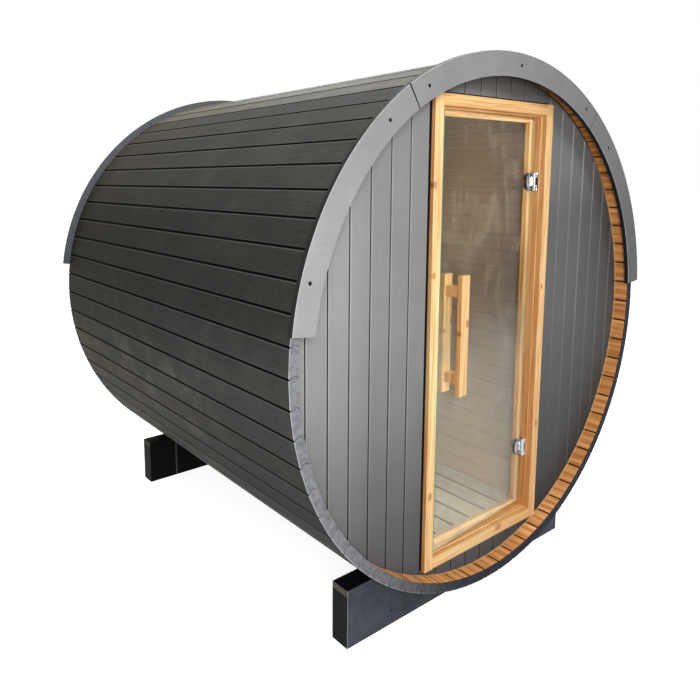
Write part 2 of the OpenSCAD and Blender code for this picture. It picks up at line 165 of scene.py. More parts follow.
BARE_GLOW = (0.74, 0.46, 0.20, 1)
PLANK_LIGHT = (0.760, 0.630, 0.440, 1)
PLANK_DEEP = (0.500, 0.380, 0.240, 1)
NAVY = (0.083, 0.091, 0.110, 1)
NAVY_DARK = (0.056, 0.062, 0.075, 1)
NAVY_BLACK = (0.005, 0.006, 0.008, 1)
NAVY_ARRIS = (0.26, 0.265, 0.28, 1)
BACK_NAVY = (0.002, 0.0023, 0.003, 1)
BACK_NAVY_LIGHT = (0.006, 0.0065, 0.008, 1)
STRIPE = (0.11, 0.112, 0.118, 1)
SAWN_DARK = (0.008, 0.009, 0.010, 1)
SAWN_LIGHT = (0.018, 0.018, 0.017, 1)
KHAKI = (0.150, 0.130, 0.095, 1)
PANE = (0.93, 0.96, 0.94, 1)
PANE_DEEP = (0.68, 0.70, 0.68, 1)
PANE_SHADOW = (0.86, 0.90, 0.88, 1)
PANE_EDGE = (0.11, 0.46, 0.41, 1)
PANE_EDGE_BROWN = (0.36, 0.29, 0.17, 1)
DUST_AND_REFLECTION_WARM = (0.58, 0.49, 0.37, 1)
DUST_AND_REFLECTION_GREY = (0.53, 0.52, 0.46, 1)
CHROME = (0.50, 0.51, 0.52, 1)
CHROME_HAZE = (0.40, 0.41, 0.41, 1)
CHROME_RIM = (0.130, 0.126, 0.122, 1)
NAIL_LIGHT = (0.016, 0.016, 0.015, 1)
NAIL_DARK = (0.006, 0.006, 0.006, 1)
CHIP_LIGHT = (0.50, 0.47, 0.44, 1)
CHIP_DARK = (0.22, 0.15, 0.10, 1)
HOLE = (0.006, 0.006, 0.007, 1)
HOLE_LIGHT = (0.012, 0.011, 0.010, 1)
PITCH_BLACK = (0.003, 0.003, 0.003, 1)
STUDIO_GREY = (0.42, 0.42, 0.41, 1)
WHITE = (1, 1, 1, 1)

# Zones of a finish: limits that all hold, each an axis, where the zone starts and where it is full
DUSTY = (("z", 1.15, 0.85), ("y", -0.70, -0.20))
REAR = (("y", -0.30, 0.80),)
SHADED = (("z", 0.35, 0.80), ("z", 1.75, 1.40))
LOW_REAR = (("z", 1.05, 0.80), ("y", -0.60, 0.00))
LOWER_HALF = (("z", 1.30, 0.95),)
LOWEST_ROWS = (("z", 0.72, 0.55),)
LOW_FRONT = (("z", 1.00, 0.75), ("y", -0.35, -0.75))
BELLY = (("z", 1.25, 1.00), ("z", 0.70, 0.85), ("y", 0.00, -0.35))
GROOVES_WIDEN = (("y", -0.90, 0.50),)
RING_FOOT = (("z", 0.45, 0.15),)
RING_HEAD = (("z", 1.45, 1.90),)
ENDS_DARKEN = (("x", -0.85, -0.12),)
ENDS_LIGHT = (("x", -0.12, -0.85),)
FRONT_DEEPENS = (("x", -0.75, 0.95),)
OVER_DOOR = (("z", FRAME_TOP_Z - 0.010, FRAME_TOP_Z + 0.040),)
OVER_DOOR_RIGHT = OVER_DOOR + (("x", -0.60, 0.00),)
WALL_FOOT = (("z", 1.20, 0.15),)
WALL_LEFT = (("x", -0.72, -0.60), ("x", -0.20, -0.30))
WALL_RIGHT = (("x", 0.22, 0.42), ("z", 1.70, 1.45))
WALL_FAR_RIGHT = (("x", 0.60, 0.80),)
WALL_LOW_RIGHT = (("x", 0.20, 0.40), ("z", 1.10, 0.50))
PALE_GROOVES = (("x", 0.25, 0.40),)
TRIM_RIGHT = (("x", 0.70, 0.95),)
TRIM_UPPER_LEFT = (("z", CENTER_Z + 0.35, CENTER_Z + 0.75), ("x", -0.10, -0.40))
TRIM_LOW_ENDS = (("z", CENTER_Z + 0.30, CENTER_Z + 0.20),)
JAMB_LOW_RIGHT = (("z", 1.10, 0.60), ("x", 0.10, 0.30))
JAMB_PALE = (("z", 1.45, 1.15), ("z", 0.55, 0.90), ("x", -0.28, -0.32))
DOOR_HEAD = (("z", 1.00, 1.50),)
BACK_CRADLE = (("y", -0.10, 0.10),)
PANE_MIDDLE = (("z", 1.50, 1.25), ("z", 0.85, 1.05))
LOWER_HINGE = (("z", 1.10, 0.90),)
UPPER_HINGE = (("z", 0.90, 1.10),)

# Painted light and shade on a paint: zones and the factor there
STAVE_CASTS = [
    (SHADED, 0.70), (LOW_REAR, (1.32, 1.31, 1.29)), (LOWER_HALF, (1.54, 1.53, 1.52)),
    (LOWEST_ROWS, (0.44, 0.445, 0.45)), (LOW_FRONT, (0.97, 1.04, 1.07)), (BELLY, (1.16, 1.17, 1.19)),
]
WALL_CASTS = [
    (WALL_FOOT, (0.36, 0.37, 0.39)), (OVER_DOOR_RIGHT, (0.55, 0.52, 0.50)),
    (WALL_LEFT, (0.895, 0.885, 0.90)), (WALL_RIGHT, 0.68), (WALL_FAR_RIGHT, 0.86), (WALL_LOW_RIGHT, 0.96),
]
TRIM_CASTS = [(TRIM_RIGHT, 0.78), (TRIM_UPPER_LEFT, (0.85, 0.855, 0.875))]
SHEEN_ROWS = (5.9, 5.1)  # staves from the top, where the painted sheen starts and is full

# Bands of painted reflection and shade on a hinge: from and to in x and y, nearest and farthest from its
# middle, and colour
HINGE_REFLECTION_AND_SHADE_BANDS = [
    ((0.2528, 0.2620), (-0.875, -0.862), (-0.01, 0.027), (0.34, 0.40, 0.28, 1)),
    ((0.2620, 0.2765), (-0.875, -0.862), (-0.01, 0.036), (0.80, 0.79, 0.84, 1)),
    ((0.2770, 0.2800), (-0.878, -0.866), (-0.01, 0.013), (0.045, 0.050, 0.062, 1)),
    ((0.2745, 0.2825), (-0.886, -0.868), (-0.01, 0.040), (0.20, 0.205, 0.21, 1)),
    ((0.2825, 0.2910), (-0.886, -0.868), (-0.01, 0.015), (0.012, 0.005, 0.004, 1)),
    ((0.2910, 0.2970), (-0.889, -0.881), (0.018, 0.027), (0.030, 0.030, 0.028, 1)),
    ((0.2910, 0.2970), (-0.899, -0.8925), (-0.01, 0.040), (0.120, 0.045, 0.020, 1)),
]
BAND_BLUR = 0.0006


# Node helpers

class Shader:
    """The node tree of a material or a world. Most methods add a node and return its output."""

    def __init__(self, owner):
        self.owner = owner
        self.owner.use_nodes = True
        self.tree = owner.node_tree
        self.tree.nodes.clear()
        self.axes = None

    def node(self, kind, inputs=None, output=0, **settings):
        made = self.tree.nodes.new("ShaderNode" + kind)
        for key, value in settings.items():
            setattr(made, key, value)
        for key, value in (inputs or {}).items():
            if isinstance(value, bpy.types.NodeSocket):
                self.tree.links.new(value, made.inputs[key])
            else:
                made.inputs[key].default_value = value
        return made.outputs[output]

    def split(self, vector):
        return tuple(self.node("SeparateXYZ", {0: vector}).node.outputs)

    def place(self):
        """Coordinates in the frame at rest, as x, y and z."""
        if self.axes is None:
            self.axes = self.split(self.node("TexCoord", output="Object"))
        return self.axes

    def facing(self):
        """The face's own direction in the frame at rest, as x, y and z."""
        normal = self.node("NewGeometry", output="True Normal")
        return self.split(self.node("VectorTransform", {0: normal}, vector_type="NORMAL",
                                    convert_from="WORLD", convert_to="OBJECT"))

    def math(self, op, a, b=0.0):
        return self.node("Math", {0: a, 1: b}, operation=op)

    def times(self, a, b):
        return self.math("MULTIPLY", a, b)

    def plus(self, a, b):
        return self.math("ADD", a, b)

    def minus(self, a, b):
        return self.math("SUBTRACT", a, b)

    def size(self, a):
        """The value without its sign."""
        return self.math("ABSOLUTE", a)

    def length(self, a, b):
        return self.math("SQRT", self.plus(self.times(a, a), self.times(b, b)))

    def vector(self, x, y, z):
        return self.node("CombineXYZ", {0: x, 1: y, 2: z})

    def mix(self, share, a, b, blend="MIX"):
        return self.node("Mix", {0: share, 6: a, 7: b}, output=2, data_type="RGBA", blend_type=blend)

    def tint(self, share, color, factor):
        """The colour times a factor: one number, or one each for red, green and blue."""
        if isinstance(factor, float):
            factor = (factor, factor, factor)
        return self.mix(share, color, (*factor, 1), "MULTIPLY")

    def rise(self, value, low, high):
        """0 below low, 1 above high and smooth between; low above high turns it round."""
        return self.node("MapRange", {0: value, 1: low, 2: high}, interpolation_type="SMOOTHSTEP")

    def scale(self, value, low, high):
        """0 to 1 stretched to low to high."""
        return self.node("MapRange", {0: value, 3: low, 4: high})

    def zone(self, limits):
        """1 where all the limits of a zone are full, 0 where one hasn't started."""
        axes = dict(zip("xyz", self.place()))
        shares = [self.rise(axes[axis], start, full) for axis, start, full in limits]
        share = shares[0]
        for other in shares[1:]:
            share = self.times(share, other)
        return share

    def noise(self, vector, size, detail=3.0, roughness=0.55, distortion=0.0):
        """Noise with features of about that size, in metres."""
        return self.node("TexNoise", {"Vector": vector, "Scale": 1 / size, "Detail": detail,
                                      "Roughness": roughness, "Distortion": distortion})

    def chance(self, number, draw=0.0):
        """A random share for each number; another draw gives other shares."""
        return self.node("TexWhiteNoise", {"W": self.plus(number, draw)}, noise_dimensions="1D")

    def bump(self, height, depth, strength):
        return self.node("Bump", {"Height": height, "Distance": depth, "Strength": strength})

    def principled(self, color, roughness, normal, **fixed):
        inputs = {"Base Color": color, "Roughness": roughness, "Normal": normal}
        for key, value in fixed.items():
            inputs[key.replace("_", " ")] = value
        return self.node("BsdfPrincipled", inputs)

    def finish(self, shader, kind="OutputMaterial"):
        output = self.tree.nodes.new("ShaderNode" + kind)
        self.tree.links.new(shader, output.inputs["Surface"])
        return self.owner


def material_shader(name):
    return Shader(bpy.data.materials.new(name))


def lengthwise(s, across, along, depth, seed):
    """Coordinates for grain that runs along one way, different for each board."""
    shift = s.times(seed, GRAIN_SHIFT)
    return s.vector(s.plus(across, shift), s.times(along, GRAIN_RATE), s.plus(depth, shift))


def wood(s, across, along, depth, seed, light, deep, ring, fibre_share=0.28, contrast=1.0):
    """Colour and height of bare wood: growth rings, broad flames and fine fibres."""
    grain = lengthwise(s, across, along, depth, seed)
    warp = s.noise(grain, size=0.030, detail=2.0)
    path = s.plus(s.plus(across, s.times(depth, 0.7)), s.times(warp, 0.045))
    rings = s.math("FRACT", s.math("DIVIDE", path, ring))
    late = s.times(s.rise(rings, 0.25, 0.85), s.rise(rings, 1.0, 0.9))
    fibres = s.noise(grain, size=0.0016, detail=2.0)
    flames = s.rise(s.noise(grain, size=0.014), 0.35, 0.75)
    color = s.mix(s.plus(s.times(late, 0.42 * contrast), s.times(flames, 0.55 * contrast)), light, deep)
    color = s.mix(s.scale(fibres, 0.0, fibre_share), color, deep, "MULTIPLY")
    height = s.plus(s.times(fibres, 0.6), s.times(late, -0.5))
    return color, height


def stray_knots(s, across, along, seed, size, spread):
    """Knots scattered over boards: 1 in a knot's heart, 0 away from it."""
    at = s.vector(s.plus(across, s.times(seed, 11.0)), s.times(along, 0.6), seed)
    cells = s.node("TexVoronoi", {"Vector": at, "Scale": 1 / spread, "Randomness": 1.0})
    return s.rise(s.times(cells, spread), size, size * 0.4)


def cast(s, paint, casts):
    """The paint with each factor of painted light and shade over its zone."""
    for zone, factor in casts:
        paint = s.tint(s.zone(zone), paint, factor)
    return paint


def front_painted_light(s, paint):
    """Paint of the front with painted light: lighter on the left and darker towards the right."""
    at_front = s.math("LESS_THAN", s.place()[1], 0.0)
    return s.tint(s.times(s.zone(FRONT_DEEPENS), at_front), paint, 0.60)


# Staves

def stave_place(s):
    """Where a point lies on the barrel: its stave, its place across the stave, and its noise."""
    x, y, z = s.place()
    down = s.minus(CENTER_Z, z)
    radius = s.length(x, down)
    turns = s.math("DIVIDE", s.math("ARCTAN2", x, down), PITCH)
    number = s.math("ROUND", turns)
    offset = s.minus(turns, number)
    across = s.times(offset, STAVE_W)
    girth = s.times(turns, STAVE_W)
    seed = s.chance(number)
    place = s.vector(girth, y, seed)
    grain = lengthwise(s, across, y, radius, seed)
    return SimpleNamespace(
        x=x, y=y, z=z, radius=radius, turns=turns, number=number, offset=offset, across=across,
        girth=girth, seed=seed, other=s.chance(number, draw=0.37), place=place, grain=grain,
        side=s.math("SIGN", x), to_edge=s.minus(STAVE_W / 2, s.size(across)),
        mottle=s.noise(s.vector(girth, y, 0.0), size=0.20, detail=5.0, roughness=0.62),
        cloud=s.noise(place, size=0.05, roughness=0.6),
        streaks=s.noise(grain, size=0.007, detail=4.0, roughness=0.6))


def stave_outside(s, at):
    """Charcoal stain: a tint for each stave, dust, painted light and shade, painted sheen on the top rows,
    painted highlights on the arrises, and grooves painted black as shade.
    """
    hue = s.mix(s.rise(at.other, 0.2, 0.8), CHARCOAL_GREEN, CHARCOAL_BROWN)
    paint = s.mix(0.5, CHARCOAL, hue)
    paint = s.tint(s.scale(at.seed, 0.0, 0.5), paint, (0.72, 0.71, 0.70))
    dust = s.times(s.rise(at.mottle, 0.44, 0.64), s.scale(s.zone(DUSTY), 0.22, 1.0))
    paint = s.tint(dust, paint, (1.95, 1.93, 1.88))
    paint = s.tint(s.zone(REAR), paint, (0.98, 0.91, 0.74))
    paint = s.tint(s.rise(at.other, 0.55, 0.95), paint, (1.03, 1.01, 0.990))
    paint = s.tint(s.rise(at.streaks, 0.40, 0.70), paint, (0.86, 0.855, 0.84))
    paint = s.mix(s.times(s.rise(at.cloud, 0.60, 0.78), 0.10), paint, SCUFF_AND_HIGHLIGHT)
    # Painted light and shade: zones of the barrel made darker or lighter as the light falls on them
    paint = cast(s, paint, STAVE_CASTS)

    # Painted sheen: the top rows, seen at a grazing angle, made much lighter and streaked, with wider
    # grooves
    from_top = s.minus(STAVE_COUNT / 2, s.size(at.number))
    sheen_rows = s.rise(from_top, *SHEEN_ROWS)
    paint = s.tint(sheen_rows, paint, (2.24, 2.22, 2.13))
    paint = s.tint(s.times(sheen_rows, s.rise(at.streaks, 0.45, 0.70)), paint, (1.40, 1.38, 1.33))

    groove_w = s.times(s.scale(sheen_rows, STAVE_CHAMFER, STAVE_CHAMFER * 1.35),
                       s.scale(s.zone(GROOVES_WIDEN), 0.72, 1.0))
    groove = s.math("DIVIDE", at.to_edge, groove_w)
    # Painted highlight: a light line beside each groove, stronger on the upper arris where the light falls
    arris = s.times(s.rise(groove, 1.25, 1.45), s.rise(groove, 2.6, 1.9))
    upper = s.rise(s.times(at.offset, at.side), -0.1, 0.1)
    paint = s.mix(s.times(arris, s.scale(upper, 0.10, 0.50)), paint, SCUFF_AND_HIGHLIGHT)
    # Painted shade: the grooves and their chamfers painted black, wider on the top rows and towards the back
    paint = s.mix(s.rise(groove, 1.35, 1.10), paint, PITCH_BLACK)
    specks = s.noise(at.place, size=0.012, detail=1.0)
    paint = s.mix(s.times(s.rise(specks, 0.79, 0.83), 0.5), paint, SCUFF_AND_HIGHLIGHT)
    gouges = s.noise(s.vector(at.girth, s.times(at.y, 0.4), at.other), size=0.014, detail=1.0)
    return s.mix(s.times(s.rise(gouges, 0.80, 0.83), 0.8), paint, HOLE)


def stave_inside(s, at):
    """Colour and height of the bare wood, with dark joints and painted light and shade: lighter at the foot
    of the ring, darker in the room and at the head of the ring, with a painted shadow along the wall there.
    """
    from_heart = s.plus(at.across, s.times(at.seed, 0.5))
    bare, height = wood(s, from_heart, at.y, at.radius, at.seed, BARE_LIGHT, BARE_DEEP,
                        ring=0.041, fibre_share=0.40, contrast=1.6)
    bare = s.tint(1.0, bare, 1.22)
    # Painted light: the foot of the ring, facing up, made lighter
    bare = s.tint(s.zone(RING_FOOT), bare, (1.16, 1.24, 1.36))
    knot = stray_knots(s, at.across, at.y, at.seed, size=0.013, spread=0.34)
    bare = s.mix(s.times(knot, 0.85), bare, BARE_KNOT)
    bare = s.tint(s.scale(at.other, 0.0, 0.7), bare, (0.74, 0.67, 0.60))
    bare = s.mix(s.rise(at.to_edge, 0.0048, 0.0030), bare, BARE_JOINT)
    from_middle = s.size(at.y)
    # Painted shade: the wood inside the room made darker
    in_room = s.rise(from_middle, WALL_MIDDLE_Y, WALL_MIDDLE_Y - 0.01)
    bare = s.tint(in_room, bare, (0.34, 0.33, 0.31))
    near_wall = s.rise(from_middle, WALL_FACE_Y + 0.010, WALL_FACE_Y + 0.006)
    bare = s.mix(s.times(near_wall, 0.45), bare, BARE_GLOW)
    out_of_room = s.rise(from_middle, WALL_MIDDLE_Y, WALL_MIDDLE_Y + 0.01)
    # Painted shade: the head of the ring made darker, with a painted shadow along the wall
    out_high = s.times(out_of_room, s.zone(RING_HEAD))
    bare = s.tint(out_high, bare, (0.68, 0.60, 0.52))
    bare = s.mix(s.times(s.times(near_wall, out_high), 0.9), bare, JOINT_AND_SHADOW_DARK)
    return bare, height


def stave_ends(s, at):
    """Colour and height of the painted end grain, with the line of each bead joint, painted shade towards
    the right and a painted highlight on the outer arris at the left.
    """
    to_joint = s.minus(s.math("FRACT", at.turns), 0.5)
    beside = s.times(s.times(to_joint, at.side), s.times(at.radius, PITCH))
    above = s.minus(at.radius, MIDDLE_R)
    from_center = s.plus(beside, BEAD_R - BEAD_H)
    bead_gap = s.size(s.minus(s.length(from_center, above), BEAD_R))
    on_bead = s.times(s.math("LESS_THAN", s.size(above), BEAD_W / 2),
                      s.math("GREATER_THAN", from_center, 0.0))
    gap = s.mix(on_bead, s.size(beside), bead_gap)
    tightness = s.scale(s.chance(s.math("FLOOR", at.turns), draw=0.71), 0.25, 0.9)
    joint = s.times(s.rise(gap, 0.0017, 0.0006), tightness)

    ring_x = s.minus(at.across, s.times(s.minus(at.seed, 0.5), 0.12))
    ring_y = s.plus(above, s.scale(at.other, 0.02, 0.09))
    ring_r = s.plus(s.length(ring_x, ring_y), s.times(at.cloud, 0.004))
    rings = s.math("SINE", s.times(ring_r, 2 * math.pi / END_RING_W))
    mottle = s.noise(s.vector(at.x, at.z, at.seed), size=0.022, detail=4.0, roughness=0.65)
    ends = s.mix(s.rise(mottle, 0.38, 0.68), SLATE, SLATE_DARK)
    ends = s.mix(s.times(s.rise(rings, -0.4, 0.9), 0.38), ends, SLATE_DARK)
    ends = s.tint(1.0, ends, (0.89, 0.875, 0.86))
    # Painted shade: the ends darker towards the right
    ends = s.tint(s.zone(ENDS_DARKEN), ends, (0.17, 0.18, 0.22))
    ends = s.mix(joint, ends, JOINT_AND_SHADOW_DARK)
    # Painted highlight: a light outer arris on the left
    arris = s.times(s.rise(at.radius, OUTER_R - 0.004, OUTER_R - 0.0015), s.zone(ENDS_LIGHT))
    ends = s.mix(s.times(arris, 0.5), ends, SLATE_LIGHT)
    return ends, s.plus(s.times(rings, 0.18), mottle)


def stave_paint():
    """Dark stain outside, bare wood inside and grey paint on the stave ends."""
    s = material_shader("stave_paint")
    at = stave_place(s)
    inside, inside_height = stave_inside(s, at)
    ends, ends_height = stave_ends(s, at)
    at_end = s.rise(s.size(s.facing()[1]), 0.6, 0.8)
    outside = s.rise(at.radius, MIDDLE_R - BORDER, MIDDLE_R + BORDER)
    color = s.mix(outside, inside, stave_outside(s, at))
    color = s.mix(at_end, color, ends)
    fibres = s.noise(at.grain, size=0.0017, detail=2.0)
    outside_height = s.plus(s.times(at.streaks, 0.9), s.times(fibres, 0.35))
    height = s.mix(outside, s.times(inside_height, 0.5), outside_height)
    height = s.mix(at_end, height, ends_height)
    normal = s.bump(height, depth=0.0012, strength=0.55)
    roughness = s.scale(at.mottle, 0.46, 0.62)
    return s.finish(s.principled(color, roughness, normal, Specular_IOR_Level=0.025))


# Walls and trim

def wall_paint():
    """Satin grey boards, bare on the side towards the room, with painted light and shade."""
    s = material_shader("wall_paint")
    x, y, z = s.place()
    number = s.math("FLOOR", s.math("DIVIDE", x, BOARD_PITCH))
    across = s.minus(x, s.times(number, BOARD_PITCH))
    seed = s.chance(number, draw=s.math("SIGN", y))
    grain = lengthwise(s, across, z, y, seed)
    mottle = s.noise(s.vector(x, z, y), size=0.16, detail=4.0, roughness=0.6)
    streaks = s.noise(grain, size=0.010, detail=4.0, roughness=0.6)
    fibres = s.noise(grain, size=0.0020, detail=2.0)
    paint = s.mix(s.rise(mottle, 0.35, 0.72), GREY, GREY_DARK)
    paint = s.tint(s.scale(seed, 0.0, 0.5), paint, (0.86, 0.86, 0.87))
    paint = s.tint(s.rise(streaks, 0.42, 0.74), paint, (0.955, 0.953, 0.95))

    to_edge = s.minus(BOARD_PITCH / 2, s.size(s.minus(across, BOARD_PITCH / 2)))
    # Painted highlight: light lines beside each groove, faint over the door where it is in shade
    arris = s.rise(to_edge, BOARD_CHAMFER * 1.6, BOARD_CHAMFER * 1.2)
    paint = s.mix(s.times(arris, s.scale(s.zone(OVER_DOOR), 0.55, 0.10)), paint, GREY_WORN_AND_HIGHLIGHT)
    # Painted highlight: the grooves right of the door show pale, their chamfers lit
    groove_highlight = s.times(s.zone(PALE_GROOVES), s.math("LESS_THAN", y, 0.0))
    groove = s.mix(s.times(groove_highlight, s.scale(seed, 0.40, 0.75)), GROOVE, GREY_PALE)
    paint = s.mix(s.rise(to_edge, BOARD_CHAMFER * 0.85, BOARD_CHAMFER * 0.60), paint, groove)
    scuffs = s.noise(s.vector(x, s.times(z, 0.35), y), size=0.030, detail=2.0, roughness=0.7, distortion=0.4)
    paint = s.mix(s.times(s.rise(scuffs, 0.72, 0.80), 0.35), paint, GREY_WORN_AND_HIGHLIGHT)
    # Painted light across the front, then painted shade in zones: the foot, over the door and to the right
    paint = cast(s, front_painted_light(s, paint), WALL_CASTS)

    bare, bare_height = wood(s, across, z, y, seed, BARE_LIGHT, BARE_DEEP, ring=0.007)
    knot = stray_knots(s, across, z, seed, size=0.012, spread=0.40)
    bare = s.mix(s.times(knot, 0.8), bare, BARE_KNOT)
    # Painted shade: the bare side, in the room, made darker
    bare = s.tint(1.0, bare, (0.42, 0.40, 0.38))
    outside = s.rise(s.size(y), WALL_MIDDLE_Y - BORDER, WALL_MIDDLE_Y + BORDER)
    color = s.mix(outside, bare, paint)
    height = s.mix(outside, s.times(bare_height, 0.5), s.plus(streaks, s.times(fibres, 0.3)))
    normal = s.bump(height, depth=0.0007, strength=0.4)
    return s.finish(s.principled(color, s.scale(mottle, 0.40, 0.56), normal, Specular_IOR_Level=0.12))


def trim_paint(name, outer_rim, inner_rim, back):
    """Grey paint on the face of a round trim, with painted light and shade, its rims in the dark colours
    given as painted shade and its back in the colour given.
    """
    s = material_shader(name)
    x, y, z = s.place()
    place = s.vector(x, y, z)
    mottle = s.noise(place, size=0.11, detail=4.0, roughness=0.6)
    fine = s.noise(place, size=0.012, detail=4.0, roughness=0.65)
    streaks = s.noise(s.vector(s.times(x, 0.12), y, z), size=0.010)
    paint = s.mix(s.rise(mottle, 0.35, 0.70), GREY, GREY_LIGHT)
    paint = s.tint(s.rise(streaks, 0.45, 0.75), paint, (0.955, 0.953, 0.95))
    scuffs = s.noise(s.vector(s.times(x, 0.5), y, z), size=0.020, detail=2.0, roughness=0.7, distortion=0.6)
    paint = s.mix(s.times(s.rise(scuffs, 0.74, 0.80), 0.35), paint, GREY_WORN_AND_HIGHLIGHT)
    # Painted light across the front, then painted shade in zones
    paint = cast(s, front_painted_light(s, paint), TRIM_CASTS)

    up = s.minus(z, CENTER_Z)
    nx, ny, nz = s.facing()
    outward = s.math("DIVIDE", s.plus(s.times(nx, x), s.times(nz, up)), s.length(x, up))
    face = s.times(ny, s.math("SIGN", y))
    arris = s.times(s.rise(face, 0.3, 0.5), s.rise(face, 0.95, 0.85))
    paint = s.mix(s.times(arris, s.scale(fine, 0.3, 1.0)), paint, GREY_WORN_AND_HIGHLIGHT)
    cut_ends = s.mix(s.zone(TRIM_LOW_ENDS), JOINT_AND_SHADOW_DARK, RAW_END)
    paint = s.mix(s.rise(face, 0.3, 0.1), paint, cut_ends)
    # Painted shade: the outer and inner rims, turned from the light, in the dark colours given
    paint = s.mix(s.rise(outward, 0.75, 0.9), paint, outer_rim)
    paint = s.mix(s.rise(outward, -0.75, -0.9), paint, inner_rim)
    patchy = s.rise(fine, 0.40, 0.65)
    behind = s.tint(s.times(patchy, patchy), back, 0.78)
    paint = s.mix(s.rise(face, -0.5, -0.8), paint, behind)
    normal = s.bump(s.plus(streaks, s.times(fine, 0.4)), depth=0.0007, strength=0.4)
    return s.finish(s.principled(paint, s.scale(mottle, 0.40, 0.56), normal, Specular_IOR_Level=0.12))


# Door, floor and cradles

def pine(name, level, knots):
    """Clear pine with its grain upright, or level along x, and knots at places in the frame; painted shade
    on faces turned from the light, on the lower right jamb and in the gap behind the wall, and painted light
    on the left jamb.
    """
    s = material_shader(name)
    x, y, z = s.place()
    along, across = (x, z) if level else (z, x)
    seed = s.chance(s.math("FLOOR", s.math("DIVIDE", across, PINE_CUT)))
    color, height = wood(s, across, along, y, seed, PINE_LIGHT, PINE_DEEP,
                         ring=0.0105, fibre_share=0.18, contrast=1.2)
    for knot_x, knot_z, size in knots:
        away_x = s.times(s.minus(x, knot_x), 0.6 if level else 1.0)
        away_z = s.times(s.minus(z, knot_z), 1.0 if level else 0.6)
        away = s.length(away_x, away_z)
        color = s.mix(s.times(s.rise(away, size * 2.2, size), 0.40), color, PINE_DEEP, "MULTIPLY")
        color = s.mix(s.times(s.rise(away, size * 1.15, size), 0.80), color, PINE_KNOT)
        color = s.mix(s.times(s.rise(away, size * 0.9, size * 0.6), 0.75), color, PINE_HEART)

    # Painted shade: faces turned from the light made deeper
    nx, _, nz = s.facing()
    shade = s.times(s.rise(s.size(nz), 0.6, 0.8), 0.6) if level else s.rise(nx, -0.6, -0.8)
    color = s.tint(shade, color, (0.62, 0.49, 0.41))
    # Painted shade: the lower part of the right jamb darker
    color = s.tint(s.zone(JAMB_LOW_RIGHT), color, (0.95, 0.87, 0.80))
    color = s.tint(1.0, color, (1.04, 1.08, 1.11))
    # Painted light: the middle of the left jamb paler
    color = s.tint(s.zone(JAMB_PALE), color, (1.0, 1.22, 1.34))
    if level:
        color = s.tint(s.zone(DOOR_HEAD), color, (0.97, 0.89, 0.80))
    # Painted shade: the side of the frame in the gap behind the wall's face painted near black
    beside = s.math("MAXIMUM", s.math("GREATER_THAN", s.size(x), FRAME_SIDE_X - BORDER),
                    s.math("GREATER_THAN", z, FRAME_TOP_Z - BORDER))
    in_joint = s.times(beside, s.rise(y, -WALL_FACE_Y - 0.003, -WALL_FACE_Y + 0.001))
    color = s.mix(in_joint, color, HOLE)
    normal = s.bump(height, depth=0.0006, strength=0.45)
    tone = s.noise(s.vector(x, y, z), size=0.09)
    return s.finish(s.principled(color, s.scale(tone, 0.36, 0.50), normal, Specular_IOR_Level=0.45))


def plank():
    """Bare floor boards, paler and greyer than the walls, with their bearers."""
    s = material_shader("plank")
    x, y, z = s.place()
    from_side = s.plus(x, FLOOR_PITCH * FLOOR_COUNT / 2)
    number = s.math("FLOOR", s.math("DIVIDE", from_side, FLOOR_PITCH))
    seed = s.chance(number)
    color, height = wood(s, x, y, z, seed, PLANK_LIGHT, PLANK_DEEP, ring=0.008)
    color = s.tint(s.scale(seed, 0.0, 0.6), color, (0.80, 0.78, 0.75))
    across = s.minus(s.plus(x, FLOOR_PITCH * (FLOOR_COUNT - 1) / 2), s.times(number, FLOOR_PITCH))
    to_edge = s.minus(FLOOR_PITCH / 2, s.size(across))
    color = s.mix(s.rise(to_edge, 0.0065, 0.0045), color, BARE_JOINT)
    knot = stray_knots(s, x, y, seed, size=0.011, spread=0.35)
    color = s.mix(s.times(knot, 0.7), color, BARE_KNOT)
    normal = s.bump(height, depth=0.0008, strength=0.5)
    tone = s.noise(s.vector(x, y, z), size=0.1)
    return s.finish(s.principled(color, s.scale(tone, 0.5, 0.7), normal, Specular_IOR_Level=0.3))


